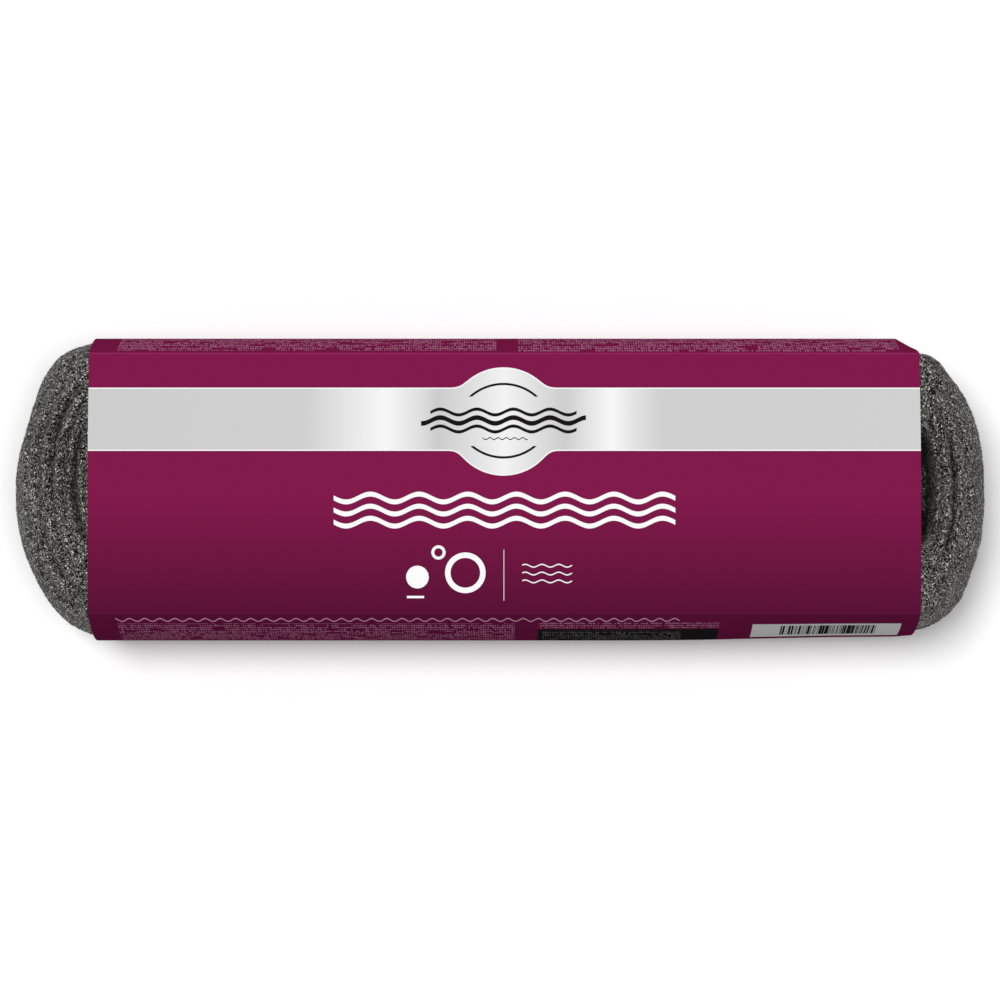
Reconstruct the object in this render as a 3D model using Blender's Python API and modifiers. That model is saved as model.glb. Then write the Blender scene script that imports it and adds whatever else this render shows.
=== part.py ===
"""A pad of steel wool: one long ribbon of wool wound into an oblong coil and held in a folded card band.

The pad lies on its back with the front panel of the band up. X runs along the pad, Y across it and Z up,
in metres. The origin is on the surface that the pad rests on, below the middle of the wool.
"""

import math

import bmesh
import bpy
from mathutils import Vector, noise

# Card band: a strip of board folded at four creases, its two ends lapped and glued on the back panel
BAND_LENGTH = 0.214  # along the pad
BAND_OFFSET = 0.0011  # how far the band sits to the right of the wool's middle
CARD = 0.0004  # thickness of the board
PANEL_WIDTH = 0.0674  # front and back panels, from crease to crease
CREASE_HEIGHT = 0.057  # front creases above the rest face
FRONT_CROWN = 0.003  # rise of the front panel between its creases
SIDE_SWELL = 0.006  # how far the wool pushes each side panel out
FLAP_EDGE = 0.012  # Y of the outer end of the strip, on the back panel
LAP = 0.018  # how far the strip's ends lap
GLUE_LINE = 0.0001  # film of glue between the lapped ends
EASE_LENGTH = 0.0044  # the stretch at each end of the band where the side panels are pressed in
EASE_AT_CORNER = {(-1, 1): 0.0, (-1, -1): 0.0, (1, 1): 0.5, (1, -1): 0.06}  # (X, Y) signs: share lost
LEAN = 0.17  # share of its swell that the -Y side panel also loses towards the right
LEAN_STRETCH = (0.035, 0.1)  # where along the band it does so, from the band's middle

# Coil of wool
STRAIGHT_LENGTH = 0.2016  # of each turn, between the round ends
END_REACH = 0.0265  # length of each round end, beyond the straight stretch
OUTLINE_POWER = 2.2  # superellipse power of the round ends, seen from above
END_NARROWING = 1.5  # how much faster the turns shorten than they narrow, towards the core
TURN_PITCH = 0.00395  # thickness of one turn of the ribbon
CORE_HALF_WIDTH = 0.0035  # the coil's core, inside the last whole turn
SHOULDER = 0.0022  # how far in from the outline the outer turn's edges lie
END_ROUNDING = 0.016  # width of the rounding from the outline to the full thickness, at the ends
ROUND_POWER = 2.3  # superellipse power of that rounding
WOOL_CLEARANCE = 0.0004  # between the wool and the inside of the band
RELEASE = 0.5  # how fast the wool spreads again past the edge of the band
TAIL_ANGLE = math.radians(-18)  # where the ribbon's outer end lies, on the right end
TAIL_STEP = 0.0004  # how far the ribbon's outer end stands proud
TAIL_FADE = 7  # how fast that step fades along the ribbon, per turn
LUMP = 0.0002  # fine unevenness of the outline
LUMPS_PER_RADIAN = 3.1
BULGES = (  # broad rises and hollows: end in X, degrees from its tip towards +Y, rise, spread in degrees
    (-1, 60, 0.0007, 10),
    (-1, 26, -0.0013, 15),
    (-1, -46, -0.0008, 20),
    (1, 52, -0.0013, 14),
    (1, 4, -0.0005, 22),
    (1, -50, 0.0008, 16),
)
FOLD_DEPTH = 0.0008  # depth of the lengthwise folds in the outer turn
FOLDS_PER_METRE = 130  # how closely those folds follow each other over the pad's height
GROOVE_DEPTH = 0.0016  # usual depth of the groove between two turns
GROOVE_UNEVENNESS = 0.8  # share by which that depth varies
GROOVE_IN_BAND = 0.35  # share of it that is left where the band presses on the coil
TURN_UNEVENNESS = 0.0009  # rise or fall of one turn beside its neighbours
GAPS = (  # wide gaps between two turns on the front: start and end in turns from the tail, depth
    (0.64, 0.80, 0.0012),
    (1.60, 1.80, 0.0016),
    (1.92, 2.16, 0.0016),
    (2.34, 2.62, 0.0020),
    (2.88, 3.22, 0.0018),
    (4.38, 4.90, 0.0042),
)
GAP_EASE = 0.08  # stretch over which a gap opens and closes, in turns
POCKET_DEPTH = 0.013  # how far the core has sunk at the right end
POCKET_TURNS = (3.45, 4.1)  # stretch of the ribbon, in turns, over which the pocket's wall goes down
POCKET_ANGLE = math.radians(-2)  # direction of the pocket's middle
POCKET_SPREAD = (math.radians(22), math.radians(54))  # half angles of its flat bottom and of the whole

# Divisions of the meshes
ARC_STEPS = 28  # around each round end
TURN_COLUMNS = 4  # across one turn
RIM_ROWS = 10  # over the outer turn, from edge to edge
EASE_STATIONS = 6  # along each pressed stretch of the band
PLAIN_STATIONS = 12  # along the rest of the band
SIDE_STEPS = 14  # around each side panel of the band
FRONT_STEPS = 12  # across the front panel

BAND_HALF = BAND_LENGTH / 2
PANEL_HALF = PANEL_WIDTH / 2
LAP_LIFT = CARD + GLUE_LINE
MARGIN = CARD + WOOL_CLEARANCE
BACK_MARGIN = LAP_LIFT + MARGIN
MID_HEIGHT = CREASE_HEIGHT / 2
WOOL_HALF_WIDTH = PANEL_HALF + SIDE_SWELL - MARGIN
END_CENTRE = STRAIGHT_LENGTH / 2
STATIONS = 2 * ARC_STEPS + 2
TURNS = int((WOOL_HALF_WIDTH - SHOULDER - CORE_HALF_WIDTH) / TURN_PITCH) - 1


def smooth(value, low, high):
    """0 below low, 1 above high, and a smooth step between them."""
    share = min(1.0, max(0.0, (value - low) / (high - low)))
    return share * share * (3 - 2 * share)


def clear_scene():
    for found in list(bpy.data.objects):
        bpy.data.objects.remove(found, do_unlink=True)


def new_collection(name):
    made = bpy.data.collections.new(name)
    bpy.context.scene.collection.children.link(made)
    return made


def finish_material(name, colour, metallic, roughness):
    material = bpy.data.materials.new(name)
    material.use_nodes = True
    shader = material.node_tree.nodes["Principled BSDF"]
    shader.inputs["Base Color"].default_value = (*colour, 1)
    shader.inputs["Metallic"].default_value = metallic
    shader.inputs["Roughness"].default_value = roughness
    return material


def bent_grid(mesh, columns, rows, place):
    """Adds a flat grid of columns by rows cells to a bmesh and moves each corner to place(column, row)."""
    grid = bmesh.ops.create_grid(mesh, x_segments=columns, y_segments=rows, size=1)
    for corner in grid["verts"]:
        column = round((corner.co.x + 1) / 2 * columns)
        row = round((corner.co.y + 1) / 2 * rows)
        corner.co = place(column, row)
    return grid["verts"]


def object_from(mesh, name, material, collection, sharp_angle):
    data = bpy.data.meshes.new(name)
    mesh.to_mesh(data)
    mesh.free()
    data.materials.append(material)
    data.shade_smooth()
    data.set_sharp_from_angle(angle=math.radians(sharp_angle))
    made = bpy.data.objects.new(name, data)
    collection.objects.link(made)
    return made


def along_band(x):
    """x held to the band's stretch, counted from the band's middle."""
    return min(BAND_HALF, max(-BAND_HALF, x - BAND_OFFSET))


def side_swell(x, side):
    """How far the side panel at side (+1 or -1 in Y) stands out at its middle height."""
    station = along_band(x)
    end = 1 if station > 0 else -1
    pressed = max(0.0, abs(station) - BAND_HALF + EASE_LENGTH) / EASE_LENGTH
    leaning = smooth(station, *LEAN_STRETCH) if side < 0 else 0
    return SIDE_SWELL * (1 - EASE_AT_CORNER[end, side] * pressed - LEAN * leaning)


def side_reach(x, z, side):
    """Distance from the X axis to the outside of a side panel at height z."""
    rise = min(1.0, max(-1.0, (z - MID_HEIGHT) / MID_HEIGHT))
    return PANEL_HALF + side_swell(x, side) * (1 - rise * rise)


def front_height(y):
    """Height of the outside of the front panel, from crease to crease."""
    share = min(1.0, abs(y) / PANEL_HALF)
    return CREASE_HEIGHT + FRONT_CROWN * (1 - share * share)


def band_section(x):
    """Points round the outside of the strip at x: outer end, -Y side, front, +Y side, inner end."""
    section = [Vector((x, FLAP_EDGE, 0))]
    for step in range(SIDE_STEPS + 1):
        z = CREASE_HEIGHT * step / SIDE_STEPS
        section.append(Vector((x, -side_reach(x, z, -1), z)))
    for step in range(1, FRONT_STEPS):
        y = -PANEL_HALF + PANEL_WIDTH * step / FRONT_STEPS
        section.append(Vector((x, y, front_height(y))))
    for step in range(SIDE_STEPS + 1):
        z = CREASE_HEIGHT - (CREASE_HEIGHT - LAP_LIFT) * step / SIDE_STEPS
        section.append(Vector((x, side_reach(x, z, 1), z)))
    section[-1].y = PANEL_HALF
    section.append(Vector((x, FLAP_EDGE - LAP, LAP_LIFT)))
    return section


def band_stations():
    """Places along the band, closer together in the pressed stretch at each end."""
    ease = [EASE_LENGTH * step / EASE_STATIONS for step in range(EASE_STATIONS)]
    inner = BAND_LENGTH - 2 * EASE_LENGTH
    middle = [EASE_LENGTH + inner * step / PLAIN_STATIONS for step in range(PLAIN_STATIONS + 1)]
    far = [BAND_LENGTH - place for place in reversed(ease)]
    return [BAND_OFFSET - BAND_HALF + place for place in ease + middle + far]


def make_band(collection):
    """The strip of card, as an open surface round the coil that is then given the board's thickness."""
    sections = [band_section(x) for x in band_stations()]
    mesh = bmesh.new()
    bent_grid(mesh, len(sections) - 1, len(sections[0]) - 1, lambda column, row: sections[column][row])
    card = finish_material("printed_card", (0.216, 0.010, 0.070), 0, 0.45)
    band = object_from(mesh, "card_band", card, collection, sharp_angle=24)
    board = band.modifiers.new("board", "SOLIDIFY")
    board.thickness = CARD
    board.offset = -1
    board.use_even_offset = True
    return band


def station_angle(station):
    """Direction of a station round the oval, and the X of the end centre that it turns about."""
    place = station % STATIONS
    if place <= ARC_STEPS:
        return math.pi * (place / ARC_STEPS - 0.5), END_CENTRE
    return math.pi * ((place - ARC_STEPS - 1) / ARC_STEPS + 0.5), -END_CENTRE


def outline_lump(turn_share, angle, z):
    """How far the outline stands out past its plain oval, in metres."""
    around = LUMPS_PER_RADIAN * Vector((math.cos(angle), math.sin(angle), 0))
    lump = LUMP * noise.noise(around + Vector((9.4, 0, 0)))
    lump += FOLD_DEPTH * noise.noise(around * 0.6 + Vector((0, 0, z * FOLDS_PER_METRE)))
    from_tip = math.degrees(math.asin(math.sin(angle)))
    for end, place, rise, spread in BULGES:
        if end * math.cos(angle) > 0:
            lump += rise * math.exp(-(((from_tip - place) / spread) ** 2))
    return lump + TAIL_STEP * math.exp(-TAIL_FADE * turn_share)


def wool_swell(x, side):
    """How far the wool stands out past the crease at mid height, held in by the band and spreading past it."""
    past = max(0.0, abs(x - BAND_OFFSET) - BAND_HALF)
    return min(SIDE_SWELL, side_swell(x, side) + RELEASE * past)


def plan_point(station, depth):
    """X and Y of a point of the coil, depth metres in from the oval outline."""
    angle, centre = station_angle(station)
    half_width = WOOL_HALF_WIDTH - depth
    reach = END_REACH * (half_width / WOOL_HALF_WIDTH) ** END_NARROWING
    power = 2 / OUTLINE_POWER
    x = centre + reach * math.copysign(abs(math.cos(angle)) ** power, math.cos(angle))
    y = half_width * math.copysign(abs(math.sin(angle)) ** power, math.sin(angle))
    room = PANEL_HALF + wool_swell(x, math.copysign(1, y)) - MARGIN
    return x, y * room / WOOL_HALF_WIDTH


def outside_band(x, blend):
    """0 inside the band, rising to 1 at blend metres past its edge."""
    return smooth(abs(x - BAND_OFFSET), BAND_HALF, BAND_HALF + blend)


def thickness(x, y, depth, face):
    """Height of the wool above (face 1) or below (face -1) its middle height, without its grooves."""
    spare = abs(y) + MARGIN - PANEL_HALF
    swell = wool_swell(x, math.copysign(1, y))
    in_side = MID_HEIGHT * math.sqrt(1 - min(1.0, max(0.0, spare / swell)))
    panel = front_height(y) - MARGIN - MID_HEIGHT if face > 0 else MID_HEIGHT - BACK_MARGIN
    held = min(in_side, panel)
    share = 1 - min(1.0, depth / END_ROUNDING)
    free = (MID_HEIGHT - BACK_MARGIN) * (1 - share**ROUND_POWER) ** (1 / ROUND_POWER)
    loose = outside_band(x, END_REACH / 2)
    return held * (1 - loose) + min(held, free) * loose


def groove(turn, across, x, face):
    """How far the surface lies below the crest of its turn."""
    edge = 1 - math.sin(math.pi * across)
    line = turn if across < 0.5 else turn + 1
    uneven = 1 + GROOVE_UNEVENNESS * noise.noise(Vector((line * 5.3, 4.0 * face, 1.7)))
    depth = GROOVE_DEPTH * uneven
    for start, end, gap in GAPS if face > 0 else ():
        depth += gap * (smooth(line, start, start + GAP_EASE) - smooth(line, end - GAP_EASE, end))
    free = GROOVE_IN_BAND + (1 - GROOVE_IN_BAND) * outside_band(x, END_REACH / 3)
    return depth * edge * free


def pocket(turn, across, angle, centre, face):
    """How far the core has sunk at the right end, which only the front shows."""
    if face < 0 or centre < 0:
        return 0
    aside = smooth(abs(angle - POCKET_ANGLE), *POCKET_SPREAD)
    return POCKET_DEPTH * smooth(turn + across, *POCKET_TURNS) * (1 - aside)


def turn_level(turn, face):
    """A small rise or fall of each turn beside its neighbours."""
    return TURN_UNEVENNESS * noise.noise(Vector((turn * 2.1, 7.7 * face, 3.3)))


def tail_station():
    return round((TAIL_ANGLE / math.pi + 0.5) * ARC_STEPS)


def face_point(turn, across, face):
    """A point on the front (face 1) or back (face -1) of the coil.

    turn counts from -1 at the ribbon's tail, where the outer turn starts from nothing at the shoulder.
    """
    station = tail_station() + round(turn * STATIONS)
    wound = (turn + 1) * across if turn < 0 else turn + across
    depth = SHOULDER + TURN_PITCH * wound
    angle, centre = station_angle(station)
    x, y = plan_point(station, depth)
    height = thickness(x, y, depth, face)
    at_rim = smooth(depth, SHOULDER, SHOULDER + TURN_PITCH / 4)
    height -= at_rim * (groove(turn, across, x, face) + pocket(turn, across, angle, centre, face))
    height += at_rim * turn_level(turn + across, face) * outside_band(x, END_REACH / 3)
    z = MID_HEIGHT + face * height
    spread = (1 - at_rim) * outline_lump((turn + 1) % 1, angle, z) * outside_band(x, END_REACH / 3)
    return Vector((x + spread * math.cos(angle), y + spread * math.sin(angle), z))


def rim_point(column, row):
    """A point on the outer turn, between its back edge (row 0) and its front edge (the last row)."""
    turn = column / STATIONS - 1
    share = 2 * row / RIM_ROWS - 1
    face = 1 if share > 0 else -1
    station = tail_station() + column
    angle, _ = station_angle(station)
    x, y = plan_point(station, SHOULDER)
    top = thickness(x, y, SHOULDER, face)
    x, y = plan_point(station, SHOULDER * share * share)
    z = MID_HEIGHT + share * top
    loose = outside_band(plan_point(station, SHOULDER)[0], END_REACH / 3)
    spread = outline_lump((turn + 1) % 1, angle, z) * loose
    return Vector((x + spread * math.cos(angle), y + spread * math.sin(angle), z))


def make_wool(collection):
    """The coil: a grid wound inwards for its front and its back, and one round its rim."""
    mesh = bmesh.new()
    columns = (TURNS + 1) * STATIONS
    for face in (1, -1):
        bent_grid(
            mesh,
            columns,
            TURN_COLUMNS,
            lambda column, row, face=face: face_point(column / STATIONS - 1, row / TURN_COLUMNS, face),
        )
    bent_grid(mesh, STATIONS, RIM_ROWS, rim_point)
    bmesh.ops.remove_doubles(mesh, verts=mesh.verts, dist=1e-6)
    bmesh.ops.dissolve_degenerate(mesh, edges=mesh.edges, dist=1e-6)
    bmesh.ops.holes_fill(mesh, edges=mesh.edges, sides=0)
    bmesh.ops.recalc_face_normals(mesh, faces=mesh.faces)
    wool = finish_material("steel_wool", (0.075, 0.073, 0.066), 1, 0.55)
    return object_from(mesh, "wool_coil", wool, collection, sharp_angle=60)


def main():
    clear_scene()
    collection = new_collection("steel_wool_pad")
    make_wool(collection)
    make_band(collection)


main()
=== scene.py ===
"""The looks of a steel wool pad: a wound coil of wool held in a printed card band.

The pad lies on its back with the front panel of the band up. X runs along it, Y across it, in metres.
"""

import math
import random

import bmesh
import bpy
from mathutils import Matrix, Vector, noise
from mathutils.bvhtree import BVHTree


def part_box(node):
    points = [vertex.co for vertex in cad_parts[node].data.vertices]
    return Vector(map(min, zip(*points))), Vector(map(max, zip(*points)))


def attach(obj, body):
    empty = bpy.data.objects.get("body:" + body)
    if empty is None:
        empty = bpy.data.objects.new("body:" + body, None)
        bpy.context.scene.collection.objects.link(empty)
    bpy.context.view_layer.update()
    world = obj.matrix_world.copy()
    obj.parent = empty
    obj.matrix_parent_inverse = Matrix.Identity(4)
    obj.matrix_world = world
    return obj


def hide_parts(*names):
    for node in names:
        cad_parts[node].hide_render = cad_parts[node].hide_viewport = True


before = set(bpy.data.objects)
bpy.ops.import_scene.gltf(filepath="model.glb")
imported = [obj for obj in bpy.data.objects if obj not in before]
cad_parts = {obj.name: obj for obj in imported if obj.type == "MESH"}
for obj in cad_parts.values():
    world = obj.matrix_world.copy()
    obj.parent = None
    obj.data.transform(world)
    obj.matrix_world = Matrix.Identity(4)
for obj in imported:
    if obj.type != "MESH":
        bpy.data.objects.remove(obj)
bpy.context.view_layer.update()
BAND_LOW, BAND_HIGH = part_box("card_band")
BAND_MIDDLE = (BAND_LOW.x + BAND_HIGH.x) / 2
BAND_HALF = (BAND_HIGH.x - BAND_LOW.x) / 2

# The card's creases
CREASE_HALF = 0.0337  # Y of the creases
CREASE_HEIGHT = 0.057  # height of the front creases
CREASE_REACH = 0.0002  # how far an edge of the solid may lie from a crease that it belongs to
CREASE_BEVEL = 0.0005
CREASE_ANGLE = math.radians(30)  # least fold of an edge that is softened
ALONG = 0.99  # least share of X in the direction of such an edge
CUT_EDGE = 0.7  # least share of X in the normal of a cut edge of the board
SMOOTH_BELOW = math.radians(8)  # folds under this angle are shaded smooth

# The wool's tufts, which rise only where the band doesn't press on them
TUFTS = (  # height, tufts to a metre, shift of the pattern
    (0.0003, 330, Vector((0, 0, 0))),
    (0.00015, 900, Vector((5, 1, 2))),
)
LOOSENING = 0.004  # distance past the band over which they reach their full height

# The grooves between the wool's turns, which hold less light than its crests: they get painted shade and
# fewer fibres
HOLLOW_PASSES = 8  # rounds of smoothing that show how far a point is sunk
HOLLOW_DEPTH = 0.0017  # depth that counts as fully sunk
FEWER_FIBRES = 0.9  # share of the fibres that a fully sunk face goes without

# Fibres of the wool
FIBRE_THICKNESS = 0.00007
FIBRE_POINTS = 4
FIRST_SEED = 11
# One steel in four grey levels: the darkest stand for fibres in shade and the brightest for glints, painted
# shade and painted glints.
FIBRES = (  # piece, grey level, number of fibres
    ("dark_fibres", 22, 7000),
    ("grey_fibres", 42, 6000),
    ("pale_fibres", 82, 4000),
    ("bright_fibres", 235, 3600),
)
FIBRE_SPREAD = 0.0005  # how far a fibre starts from the middle of its face
FIBRE_STEP = 0.0002  # usual distance from point to point
FIBRE_STEP_SHARES = (0.5, 1.5)
FIBRE_LIFT = 0.00008  # most that a whole fibre lies above the wool
FIBRE_CURL = 0.00018  # most that one point rises above the rest
FIBRE_TURN = 0.8  # how sharply a fibre bends from point to point
UNDER_BAND = 0.0015  # how far the fibres go on under the band

# The photograph's view, from a little towards the band's lower side panel
VIEW_TILT = math.radians(3.2)
VIEW_DISTANCE = 1.2
VIEW_WIDTH = 0.2573  # width of the picture, at the height of the front creases
VIEW_CENTRE = Vector((0, -0.0043, CREASE_HEIGHT))

# An even white studio, a soft lamp overhead to the left and behind, and a weaker one to the right
STUDIO_STRENGTH = 0.23
LAMPS = (  # strength, apparent size in degrees, tilt about X and Y in degrees
    (2.05, 18, (-5.5, -11)),
    (0.77, 14, (4.5, 9)),
)


class Field:
    """A socket's value in a material, so that shader maths is written as arithmetic."""

    def __init__(self, finish, socket):
        self.finish = finish
        self.socket = socket

    def _maths(self, operation, *values):
        sockets = dict(enumerate(values))
        return self.finish.add("ShaderNodeMath", {"operation": operation}, sockets)

    def __add__(self, other):
        return self._maths("ADD", self, other)

    def __radd__(self, other):
        return self._maths("ADD", other, self)

    def __sub__(self, other):
        return self._maths("SUBTRACT", self, other)

    def __rsub__(self, other):
        return self._maths("SUBTRACT", other, self)

    def __mul__(self, other):
        return self._maths("MULTIPLY", self, other)

    def __rmul__(self, other):
        return self._maths("MULTIPLY", other, self)

    def __truediv__(self, other):
        return self._maths("DIVIDE", self, other)

    def __lt__(self, other):
        return self._maths("LESS_THAN", self, other)

    def __gt__(self, other):
        return self._maths("GREATER_THAN", self, other)

    def __abs__(self):
        return self._maths("ABSOLUTE", self)

    def floor(self):
        return self._maths("FLOOR", self)

    def fraction(self):
        return self._maths("FRACT", self)

    def sine(self):
        return self._maths("SINE", self)

    def root(self):
        return self._maths("SQRT", self)

    def most(self, other):
        return self._maths("MAXIMUM", self, other)

    def smooth_least(self, other, blend):
        return self._maths("SMOOTH_MIN", self, other, blend)


class Finish:
    """A material under construction."""

    def __init__(self, name):
        self.material = bpy.data.materials.new(name)
        self.material.use_nodes = True
        self.tree = self.material.node_tree
        self.shader = self.tree.nodes["Principled BSDF"]

    def add(self, kind, settings, sockets, output=0):
        """Adds a node: its settings first, then the values or links of its sockets."""
        node = self.tree.nodes.new(kind)
        for name, value in settings.items():
            if name == "stops":
                self._set_stops(node.color_ramp, value)
            else:
                setattr(node, name, value)
        for name, value in sockets.items():
            self._feed(node.inputs[name], value)
        return Field(self, node.outputs[output])

    def _set_stops(self, ramp, stops):
        while len(ramp.elements) < len(stops):
            ramp.elements.new(1)
        for element, (place, colour) in zip(ramp.elements, stops):
            element.position = place
            element.color = colour

    def _feed(self, socket, value):
        if isinstance(value, Field):
            self.tree.links.new(value.socket, socket)
        else:
            socket.default_value = value

    def set(self, **values):
        """Sets or links sockets of the Principled shader, with _ for a space in their names."""
        for name, value in values.items():
            self._feed(self.shader.inputs[name.replace("_", " ")], value)

    def blend(self, mask, below, above):
        """The colour below where the mask is 0, going over to the one above where it is 1."""
        return self.add("ShaderNodeMix", {"data_type": "RGBA"}, {0: mask, 6: below, 7: above}, output=2)

    def split(self, vector):
        return [self.add("ShaderNodeSeparateXYZ", {}, {0: vector}, output=axis) for axis in range(3)]

    def place(self):
        return self.add("ShaderNodeTexCoord", {}, {}, output="Object")

    def noise(self, vector, scale, detail=2, roughness=0.5):
        sockets = {"Vector": vector, "Scale": scale, "Detail": detail, "Roughness": roughness}
        return self.add("ShaderNodeTexNoise", {"noise_dimensions": "3D"}, sockets, output="Fac")

    def chance(self, *place):
        """A random share for each whole-numbered place."""
        cell = self.add("ShaderNodeCombineXYZ", {}, dict(enumerate(place)))
        return self.add("ShaderNodeTexWhiteNoise", {"noise_dimensions": "3D"}, {"Vector": cell})

    def bump(self, height, strength, distance):
        sockets = {"Height": height, "Strength": strength, "Distance": distance}
        return self.add("ShaderNodeBump", {}, sockets)


def ink(red, green, blue):
    """A colour given in 0 to 255 as the eye reads it, as the linear colour that a shader takes."""
    parts = [part / 255 for part in (red, green, blue)]
    return (*(part / 12.92 if part <= 0.04045 else ((part + 0.055) / 1.055) ** 2.4 for part in parts), 1)


# Printing inks, with painted shade and a painted highlight among them, and their places on the band, in
# millimetres. Along runs from the band's middle, and across from the middle of the front panel up over the
# top crease, or down over the bottom one.
BURGUNDY = ink(122, 25, 71)
# The burgundy darkened towards the lower crease: painted shade.
BURGUNDY_SHADED = ink(84, 17, 51)
# The same burgundy on the side panels, a little darker on the upper one and much darker on the lower one:
# painted shade.
SHADED_BURGUNDY_SIDE = ink(119, 24, 70)
SHADED_BURGUNDY_LOW_SIDE = ink(87, 18, 53)
# A painted highlight along the upper crease.
CREASE_HIGHLIGHT = ink(150, 50, 95)
PALE_PRINT = ink(205, 150, 180)
GREY_PRINT = ink(150, 150, 150)
WHITE = ink(242, 242, 242)
# The bar code's white field, painted grey: painted shade.
SHADED_LABEL = ink(176, 176, 176)
SILVER_EDGE = ink(240, 240, 240)
BLACK = ink(24, 22, 22)
TO_MILLIMETRES = 1000
CREASE_AT = CREASE_HALF * TO_MILLIMETRES
SHADE_FROM = -4.0  # where painted shade starts to darken the burgundy towards the lower crease
HIGHLIGHT_HALF = 0.35  # half of the width of the painted highlight along the upper crease
HIGHLIGHT_SHARE = 0.35
STRIPE_MIDDLE = 16.39
STRIPE_HALF = 8.2
ROUNDEL = (-0.2, 15.84, 14.04)  # along, across, radius
ROUNDEL_FILLET = 2.9
SILVER_LINE = 0.3  # width of the pale line round the stripe
PRINT_REACH = BAND_HALF * TO_MILLIMETRES
SILVER_STOPS = (  # share of the band's length, grey level
    (0.0, 196),
    (0.26, 198),
    (0.357, 236),
    (0.4, 212),
    (0.42, 195),
    (0.455, 210),
    (0.5, 232),
    (0.545, 210),
    (0.573, 196),
    (0.6, 217),
    (0.63, 237),
    (0.655, 217),
    (0.69, 198),
    (1.0, 199),
)

SILVER_STRANDS = (  # left, right, middle above the roundel's, swing, length of a wave, width
    (-19.0, 18.6, 2.4, 0.75, 9.4, 0.85),
    (-21.4, 21.0, 0.2, 0.75, 9.4, 1.25),
    (-19.0, 18.6, -2.0, 0.75, 9.4, 0.85),
    (-5.6, 6.0, -4.5, 0.25, 2.1, 0.28),
)
ARC_SHIFTS = (-2.9, 3.25)  # centres of the upper and the lower arc, above the roundel's
ARC_RADIUS = 12.6
ARC_WIDTH = 0.6
ARC_END = 6.4  # distance of the arcs' ends above or below the roundel's middle
WHITE_STRANDS = (  # left, right, middle, swing, length of a wave, width
    (-43.8, 43.9, -3.95, 1.0, 12.5, 1.25),
    (-43.8, 43.9, -7.05, 1.0, 12.5, 1.25),
    (-43.8, 43.9, -10.15, 1.0, 12.5, 1.25),
    (4.6, 17.4, -21.3, 0.35, 4.3, 0.3),
    (4.6, 17.4, -23.3, 0.35, 4.3, 0.3),
    (4.6, 17.4, -25.3, 0.35, 4.3, 0.3),
)
DOT = (-22.3, -24.2, 2.9)  # along, across, radius
RINGS = (  # along, across, radius, width
    (-16.9, -17.9, 1.45, 0.75),
    (-10.0, -23.1, 4.5, 1.4),
)
DASH = (-25.0, -20.6, -29.6, -29.0)  # left, right, low, high
DIVIDER = (-0.17, -0.03, -30.2, -17.2)
SMALL_PRINT = (  # area, pitch of its rows, letter, share of a row's pitch that is filled, seed, strength
    ((-100.0, -2.0, 35.6, 60.0), 1.75, 0.62, 0.6, 1.0, 0.48),
    ((3.5, 102.0, 35.0, 61.0), 1.75, 0.62, 0.6, 2.0, 0.48),
    ((-100.0, 2.7, -60.0, -39.6), 1.6, 0.62, 0.55, 4.0, 0.34),
    ((8.9, 55.5, -43.6, -38.9), 1.6, 0.62, 0.55, 5.0, 0.34),
)
HEADING = (-100.2, 45.2, -37.2, 0.9, 3.9, 0.7)  # as the white strands
HEADING_STRENGTH = 0.7
BLACK_FIELD = (8.7, 55.6, -62.0, -44.2)
FAINT_PRINT = ((10.0, 46.0, -60.0, -45.5), 1.9, 0.66, 0.5, 6.0)  # as the small print, on the black field
FAINT_STRENGTH = 0.25
LABEL_FIELD = (64.2, 102.7, -56.0, -40.8)
BARS = (71.6, 96.3, -52.5, -42.2)
BAR_PITCH = 0.38
BAR_LEAST = 0.15  # least share of its pitch that a bar fills
BAR_VARIETY = 0.95  # how much more it can be

# The small print's tiny marks, which are left out by chance one by one and in stretches
LETTER_WIDTH = 0.35  # least share of its place that a mark fills
LETTER_HEIGHT = 0.65
LETTER_VARIETY = 0.5  # how much more it can be
BLANK_LETTERS = 0.1
BLANK_STRETCHES = 0.12
LETTERS_TO_STRETCH = 5.3
STRETCH_SEED = 7.0  # keeps the chance of the stretches apart from that of the marks

# The board's coating and its bare side
COAT_GRAIN = 900  # to a metre, as in all the patterns below
COAT_WAVES = 28
COAT_GRAIN_SHARE = 0.2  # height of the grain beside that of the waves
COAT_BUMP = (0.2, 0.0006)  # strength, height in metres
COAT_ROUGHNESS = 0.55
COAT_VARIETY = 0.1
BOARD_FIBRES = 1400
BOARD_INKS = (ink(196, 190, 180), ink(232, 229, 222))
BOARD_ROUGHNESS = 0.85
BOARD_BUMP = (0.3, 0.0001)

# The wool's mat: its patterns, their weight in its light and dark, and its inks
CLUMPS = 600
SPECKS = 4100
GLINTS = 3700.0
CLUMP_WEIGHT = 0.35
SPECK_WEIGHT = 5.5
GLINT_WEIGHT = 3.4
MAT_LEVEL = 0.21
MAT_STOPS = [(0.0, ink(4, 4, 3)), (0.5, ink(28, 27, 25)), (1.0, ink(140, 137, 131))]
GLINT = ink(240, 240, 236)
GLINT_SHARE = 0.9
NO_GLINT = 0.95  # share of the mat without a glint
# Painted shade in the grooves between the turns.
GROOVE_SHADE = ink(12, 11, 10)
GROOVE_SHADE_SHARE = 0.85
MAT_ROUGHNESS = 0.5
MAT_VARIETY = 0.2
MAT_SHINE = 0.1
MAT_BUMP = (0.5, 0.0002)

# The fibres' steel and the studio's floor
WEAR = 700
STEEL_TINT = (1.0, 0.985, 0.94)  # its red, green and blue beside its grey level
STEEL_ROUGHNESS = 0.22
STEEL_VARIETY = 0.25
FLOOR_REACH = 3  # metres from the pad
FLOOR_GRAIN = 60
FLOOR_INKS = (ink(250, 250, 250), ink(252, 252, 252))
FLOOR_ROUGHNESS = 0.9


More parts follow.
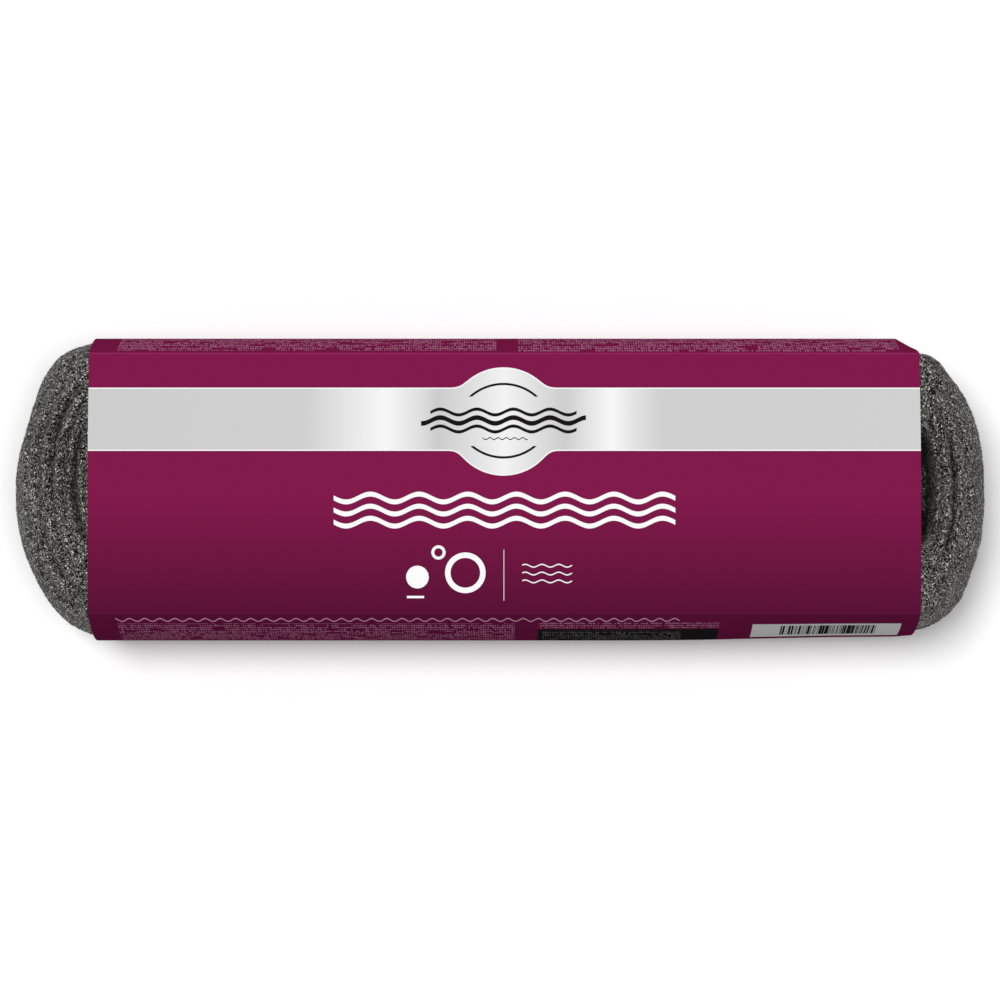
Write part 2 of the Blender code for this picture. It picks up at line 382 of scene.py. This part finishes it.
def inside(value, low, high):
    return (value > low) * (value < high)


def panel(along, across, left, right, low, high):
    return inside(along, left, right) * inside(across, low, high)


def strands(along, across, left, right, middle, swing, length, width):
    """A printed wavy line, as one strand of the wool."""
    wave = (along * (2 * math.pi / length)).sine() * swing + middle
    return inside(along, left, right) * (abs(across - wave) < width / 2)


def dot(along, across, centre_along, centre_across, radius):
    return distance_from(along, across, centre_along, centre_across) < radius


def ring(along, across, centre_along, centre_across, radius, width):
    return abs(distance_from(along, across, centre_along, centre_across) - radius) < width / 2


def distance_from(along, across, centre_along, centre_across):
    aside = along - centre_along
    above = across - centre_across
    return (aside * aside + above * above).root()


def small_rows(finish, along, across, area, pitch, letter, filled, seed):
    """Rows of tiny marks that stand for small print, in area (left, right, low, high)."""
    row = (across / pitch).floor()
    column = (along / letter).floor()
    stretch = (along / (letter * LETTERS_TO_STRETCH)).floor()
    chance = finish.chance(column, row, seed)
    space = finish.chance(stretch, row, seed + STRETCH_SEED)
    in_letter = (along / letter).fraction() < LETTER_WIDTH + LETTER_VARIETY * chance
    in_line = (across / pitch).fraction() < filled * (LETTER_HEIGHT + LETTER_VARIETY * chance)
    mark = in_letter * in_line * (space > BLANK_STRETCHES) * (chance > BLANK_LETTERS)
    return panel(along, across, *area) * mark


def printed_card():
    """Coated board printed in fields of colour: burgundy, a silver stripe and plain generic marks, with
    painted shade towards the lower crease and on the side panels, and a painted highlight along the upper
    crease.
    """
    finish = Finish("printed_card")
    print_place = finish.add("ShaderNodeUVMap", {"uv_map": "print"}, {})
    along, across, _ = finish.split(print_place)
    # Painted shade: the burgundy darkens towards the lower crease.
    lower = finish.add(
        "ShaderNodeMapRange",
        {},
        {"Value": across, "From Min": SHADE_FROM, "From Max": -CREASE_AT, "To Min": 0.0, "To Max": 1.0},
    )
    colour = finish.blend(lower, BURGUNDY, BURGUNDY_SHADED)
    # Painted shade on the side panels.
    colour = finish.blend(across > CREASE_AT, colour, SHADED_BURGUNDY_SIDE)
    colour = finish.blend(across < -CREASE_AT, colour, SHADED_BURGUNDY_LOW_SIDE)

    # Painted highlight along the upper crease.
    highlight_mask = (abs(across - CREASE_AT) < HIGHLIGHT_HALF) * HIGHLIGHT_SHARE
    colour = finish.blend(highlight_mask, colour, CREASE_HIGHLIGHT)

    disc = distance_from(along, across, *ROUNDEL[:2]) - ROUNDEL[2]
    stripe = abs(across - STRIPE_MIDDLE) - STRIPE_HALF
    silver_shape = stripe.smooth_least(disc, ROUNDEL_FILLET)
    share = along / (2 * PRINT_REACH) + 0.5
    stops = [(place, ink(level, level, level)) for place, level in SILVER_STOPS]
    silver = finish.add("ShaderNodeValToRGB", {"stops": stops}, {0: share})
    colour = finish.blend(silver_shape < 0, colour, silver)
    edge_line = inside(silver_shape, -SILVER_LINE, 0.0)
    colour = finish.blend(edge_line, colour, SILVER_EDGE)

    colour = finish.blend(emblem_marks(along, across), colour, BLACK)
    colour = finish.blend(front_marks(along, across), colour, WHITE)
    colour = side_marks(finish, along, across, colour)

    grain = finish.noise(finish.place(), COAT_GRAIN, detail=3)
    waves = finish.noise(finish.place(), COAT_WAVES)
    finish.set(Base_Color=colour, Roughness=COAT_ROUGHNESS + COAT_VARIETY * grain, Specular_IOR_Level=0.0)
    finish.set(Normal=finish.bump(grain * COAT_GRAIN_SHARE + waves, *COAT_BUMP))
    return finish.material


def emblem_marks(along, across):
    """Dark generic marks on the silver: wavy strands, a fine one under them, and an arc above and below."""
    middle_along, middle_across, _ = ROUNDEL
    centres = (middle_across + shift for shift in ARC_SHIFTS)
    upper, lower = (ring(along, across, middle_along, centre, ARC_RADIUS, ARC_WIDTH) for centre in centres)
    marks = upper * (across > middle_across + ARC_END) + lower * (across < middle_across - ARC_END)
    for left, right, raised, swing, length, width in SILVER_STRANDS:
        marks = marks.most(strands(along, across, left, right, middle_across + raised, swing, length, width))
    return marks


def front_marks(along, across):
    """White generic marks on the burgundy: strands, a dot, rings, a dash and a divider."""
    marks = dot(along, across, *DOT)
    for place in WHITE_STRANDS:
        marks = marks.most(strands(along, across, *place))
    for place in RINGS:
        marks = marks.most(ring(along, across, *place))
    for place in DASH, DIVIDER:
        marks = marks.most(panel(along, across, *place))
    return marks


def side_marks(finish, along, across, colour):
    """Small print on both side panels, with a black field and a light field of bars on the lower one."""
    for area, pitch, letter, filled, seed, strength in SMALL_PRINT:
        rows = small_rows(finish, along, across, area, pitch, letter, filled, seed)
        colour = finish.blend(rows * strength, colour, PALE_PRINT)
    colour = finish.blend(strands(along, across, *HEADING) * HEADING_STRENGTH, colour, PALE_PRINT)
    colour = finish.blend(panel(along, across, *BLACK_FIELD), colour, BLACK)
    rows = small_rows(finish, along, across, *FAINT_PRINT)
    colour = finish.blend(rows * FAINT_STRENGTH, colour, GREY_PRINT)
    # The bar code's white field in painted shade.
    colour = finish.blend(panel(along, across, *LABEL_FIELD), colour, SHADED_LABEL)
    width = BAR_LEAST + BAR_VARIETY * finish.chance((along / BAR_PITCH).floor())
    bars = panel(along, across, *BARS) * ((along / BAR_PITCH).fraction() < width)
    return finish.blend(bars, colour, BLACK)


def bare_board():
    """The unprinted side and the cut edges of the board."""
    finish = Finish("bare_board")
    fibre = finish.noise(finish.place(), BOARD_FIBRES, detail=4, roughness=0.7)
    finish.set(Base_Color=finish.blend(fibre, *BOARD_INKS), Roughness=BOARD_ROUGHNESS)
    finish.set(Normal=finish.bump(fibre, *BOARD_BUMP))
    return finish.material


def wool_mat():
    """The mat of fine strands: a dark speckle with small glints, and painted shade in the grooves between the
    turns.
    """
    finish = Finish("wool_mat")
    place = finish.place()
    clumps = finish.noise(place, CLUMPS)
    specks = finish.noise(place, SPECKS, detail=1)
    glint = finish.add("ShaderNodeTexVoronoi", {"feature": "F1"}, {"Vector": place, "Scale": GLINTS}, "Color")
    chance, tint, _ = finish.split(glint)
    patterns = ((specks, SPECK_WEIGHT), (clumps, CLUMP_WEIGHT), (chance, GLINT_WEIGHT))
    level = sum((pattern - 0.5) * weight for pattern, weight in patterns) + MAT_LEVEL
    shade = finish.add("ShaderNodeValToRGB", {"stops": MAT_STOPS}, {0: level})
    shade = finish.blend((tint > NO_GLINT) * GLINT_SHARE, shade, GLINT)
    # Painted shade, deepest in the grooves between the turns.
    sunk = finish.add("ShaderNodeAttribute", {"attribute_name": "sunk"}, {}, "Fac")
    shade = finish.blend(sunk * GROOVE_SHADE_SHARE, shade, GROOVE_SHADE)
    finish.set(Base_Color=shade, Roughness=MAT_ROUGHNESS + MAT_VARIETY * clumps, Specular_IOR_Level=MAT_SHINE)
    finish.set(Normal=finish.bump(level, *MAT_BUMP))
    return finish.material


def fibre_steel(name, grey):
    """Bare steel wire, a little rougher in places."""
    finish = Finish(name)
    wear = finish.noise(finish.place(), WEAR)
    # The grey level is painted shade on the darkest fibres and a painted glint on the brightest.
    steel = ink(*(grey * share for share in STEEL_TINT))
    finish.set(Base_Color=steel, Metallic=1.0, Roughness=STEEL_ROUGHNESS + STEEL_VARIETY * wear)
    return finish.material


def white_ground():
    finish = Finish("white_ground")
    grain = finish.noise(finish.place(), FLOOR_GRAIN)
    finish.set(Base_Color=finish.blend(grain, *FLOOR_INKS), Roughness=FLOOR_ROUGHNESS)
    return finish.material


def object_from(mesh, name, materials):
    data = bpy.data.meshes.new(name)
    mesh.to_mesh(data)
    mesh.free()
    for material in materials:
        data.materials.append(material)
    made = bpy.data.objects.new(name, data)
    bpy.context.scene.collection.objects.link(made)
    return made


def merged_copy(node):
    """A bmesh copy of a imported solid, its loose triangles merged and joined into four-sided faces."""
    mesh = bmesh.new()
    mesh.from_mesh(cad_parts[node].data)
    bmesh.ops.remove_doubles(mesh, verts=mesh.verts, dist=1e-6)
    bmesh.ops.join_triangles(
        mesh,
        faces=mesh.faces,
        angle_face_threshold=math.radians(60),
        angle_shape_threshold=math.radians(120),
    )
    return mesh


def front_side_and_back(corner, normal):
    """A corner's place on the unfolded strip, in millimetres: along, and across from the front's middle."""
    if abs(normal.y) < abs(normal.z):
        across = corner.y
        if normal.z < 0:
            across = math.copysign(CREASE_HALF * 2 + CREASE_HEIGHT - abs(corner.y), corner.y)
    else:
        across = math.copysign(CREASE_HALF + CREASE_HEIGHT - corner.z, corner.y)
    return (corner.x - BAND_MIDDLE) * TO_MILLIMETRES, across * TO_MILLIMETRES


def make_band():
    """The folded strip of card, with softened creases and its print laid out on it."""
    mesh = merged_copy("card_band")
    middle_height = CREASE_HEIGHT / 2
    creases = []
    for edge in mesh.edges:
        direction = (edge.verts[0].co - edge.verts[1].co).normalized()
        if abs(direction.x) > ALONG and len(edge.link_faces) == 2 and edge.calc_face_angle() > CREASE_ANGLE:
            middle = (edge.verts[0].co + edge.verts[1].co) / 2
            if abs(abs(middle.y) - CREASE_HALF) < CREASE_REACH and middle.z > middle_height:
                creases.append(edge)
    bmesh.ops.bevel(
        mesh,
        geom=creases,
        offset=CREASE_BEVEL,
        offset_type="OFFSET",
        segments=3,
        profile=0.5,
        affect="EDGES",
        material=-1,
        clamp_overlap=True,
    )
    bmesh.ops.recalc_face_normals(mesh, faces=mesh.faces)
    layer = mesh.loops.layers.uv.new("print")
    for face in mesh.faces:
        face.smooth = True
        centre = face.calc_center_median()
        outward = Vector((0, centre.y, centre.z - middle_height))
        cut_edge = abs(face.normal.x) > CUT_EDGE
        face.material_index = 1 if cut_edge or face.normal.dot(outward) < 0 else 0
        for loop in face.loops:
            loop[layer].uv = front_side_and_back(loop.vert.co, face.normal)
    band = object_from(mesh, "printed_band", [printed_card(), bare_board()])
    band.data.set_sharp_from_angle(angle=SMOOTH_BELOW)
    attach(band, "root")
    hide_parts("card_band")
    return band


def loose_share(point):
    """0 under the band, rising to 1 where the wool is free of it."""
    past = abs(point.x - BAND_MIDDLE) - BAND_HALF
    share = min(1.0, max(0.0, past / LOOSENING))
    return share * share * (3 - 2 * share)


def mark_hollows(mesh):
    """Stores on each vertex how far it lies in a groove: 0 on the crests, 1 deep between two turns."""
    layer = mesh.verts.layers.float.new("sunk")
    places = [vertex.co.copy() for vertex in mesh.verts]
    for _ in range(HOLLOW_PASSES):
        bmesh.ops.smooth_vert(
            mesh, verts=mesh.verts, factor=0.5, use_axis_x=True, use_axis_y=True, use_axis_z=True
        )
    for vertex, place in zip(mesh.verts, places):
        depth = (vertex.co - place).dot(vertex.normal)
        vertex[layer] = min(1.0, max(0.0, depth / HOLLOW_DEPTH))
        vertex.co = place
    mesh.normal_update()


def make_wool():
    """The coil with finer turns: tufts raised on a smoothed copy of the solid."""
    solid = merged_copy("wool_coil")
    mark_hollows(solid)
    coarse = object_from(solid, "coarse_wool", [])
    finer = coarse.modifiers.new("finer", "SUBSURF")
    finer.levels = 2
    finer.render_levels = 2
    evaluated = coarse.evaluated_get(bpy.context.evaluated_depsgraph_get())
    mesh = bmesh.new()
    mesh.from_mesh(evaluated.to_mesh())
    bpy.data.objects.remove(coarse)
    mesh.normal_update()
    lifts = []
    for vertex in mesh.verts:
        place = vertex.co
        tuft = sum(height * noise.noise(place * pitch + shift) for height, pitch, shift in TUFTS)
        lifts.append((vertex, vertex.normal * tuft * loose_share(place)))
    for vertex, lift in lifts:
        vertex.co += lift
    for face in mesh.faces:
        face.smooth = True
    wool = object_from(mesh, "wool_turns", [wool_mat()])
    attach(wool, "root")
    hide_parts("wool_coil")
    return wool


def free_faces(wool):
    """The centres of the faces that are not hidden by the band, and each one's share of the fibres."""
    sunk = wool.data.attributes["sunk"].data
    found = []
    for face in wool.data.polygons:
        if abs(face.center.x - BAND_MIDDLE) > BAND_HALF - UNDER_BAND:
            depth = sunk[face.vertices[0]].value
            found.append((face.center.copy(), face.area * (1 - FEWER_FIBRES * depth)))
    return found


def make_fibres(wool, name, material, count, seed):
    """Loose fibres of one grey that lie on the wool."""
    draw = random.Random(seed)
    surface = BVHTree.FromPolygons(
        [vertex.co for vertex in wool.data.vertices], [face.vertices for face in wool.data.polygons]
    )
    faces = free_faces(wool)
    starts = draw.choices([centre for centre, _ in faces], weights=[share for _, share in faces], k=count)
    curve = bpy.data.curves.new(name, "CURVE")
    curve.dimensions = "3D"
    curve.bevel_depth = FIBRE_THICKNESS / 2
    curve.bevel_resolution = 0
    curve.use_fill_caps = True
    for start in starts:
        add_fibre(curve, surface, start, draw)
    carrier = bpy.data.objects.new("carrier", curve)
    bpy.context.scene.collection.objects.link(carrier)
    evaluated = carrier.evaluated_get(bpy.context.evaluated_depsgraph_get())
    mesh = bmesh.new()
    mesh.from_mesh(bpy.data.meshes.new_from_object(evaluated))
    bpy.data.objects.remove(carrier)
    bmesh.ops.remove_doubles(mesh, verts=mesh.verts, dist=1e-7)
    bmesh.ops.recalc_face_normals(mesh, faces=mesh.faces)
    for face in mesh.faces:
        face.smooth = True
    fibres = object_from(mesh, name, [material])
    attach(fibres, "root")
    return fibres


def add_fibre(curve, surface, start, draw):
    """One fibre: a short crimped line that follows the surface."""
    spline = curve.splines.new("POLY")
    spline.points.add(FIBRE_POINTS - 1)
    place = start + Vector([draw.uniform(-FIBRE_SPREAD, FIBRE_SPREAD) for _ in range(3)])
    way = Vector([draw.gauss(0, 1) for _ in range(3)])
    step = FIBRE_STEP * draw.uniform(*FIBRE_STEP_SHARES)
    height = draw.uniform(0, FIBRE_LIFT)
    for index in range(FIBRE_POINTS):
        point, normal, _, _ = surface.find_nearest(place)
        raised = point + normal * (height + draw.uniform(0, FIBRE_CURL))
        spline.points[index].co = (*raised, 1)
        way = (way - normal * way.dot(normal)).normalized()
        way += Vector([draw.gauss(0, FIBRE_TURN) for _ in range(3)])
        place = point + way.normalized() * step


def make_floor():
    mesh = bmesh.new()
    bmesh.ops.create_grid(mesh, x_segments=2, y_segments=2, size=FLOOR_REACH)
    floor = object_from(mesh, "floor", [white_ground()])
    return floor


def make_camera():
    camera = bpy.data.objects.new("camera", bpy.data.cameras.new("camera"))
    bpy.context.scene.collection.objects.link(camera)
    away = Vector((0, -math.sin(VIEW_TILT), math.cos(VIEW_TILT)))
    camera.location = VIEW_CENTRE + away * VIEW_DISTANCE
    camera.rotation_euler = (VIEW_TILT, 0, 0)
    camera.data.sensor_fit = "HORIZONTAL"
    camera.data.angle = 2 * math.atan(VIEW_WIDTH / 2 / VIEW_DISTANCE)
    bpy.context.scene.camera = camera


def make_light():
    world = bpy.data.worlds.new("studio")
    bpy.context.scene.world = world
    world.use_nodes = True
    ground = world.node_tree.nodes["Background"]
    ground.inputs["Color"].default_value = (1, 1, 1, 1)
    ground.inputs["Strength"].default_value = STUDIO_STRENGTH
    for strength, size, tilt in LAMPS:
        lamp = bpy.data.lights.new("overhead", "SUN")
        lamp.energy = strength
        lamp.angle = math.radians(size)
        overhead = bpy.data.objects.new("overhead", lamp)
        overhead.rotation_euler = (math.radians(tilt[0]), math.radians(tilt[1]), 0)
        bpy.context.scene.collection.objects.link(overhead)


def main():
    bpy.context.scene.view_settings.view_transform = "Standard"
    make_camera()
    make_light()
    make_floor()
    make_band()
    wool = make_wool()
    for seed, (name, grey, count) in enumerate(FIBRES, FIRST_SEED):
        make_fibres(wool, name, fibre_steel(name, grey), count, seed)


main()
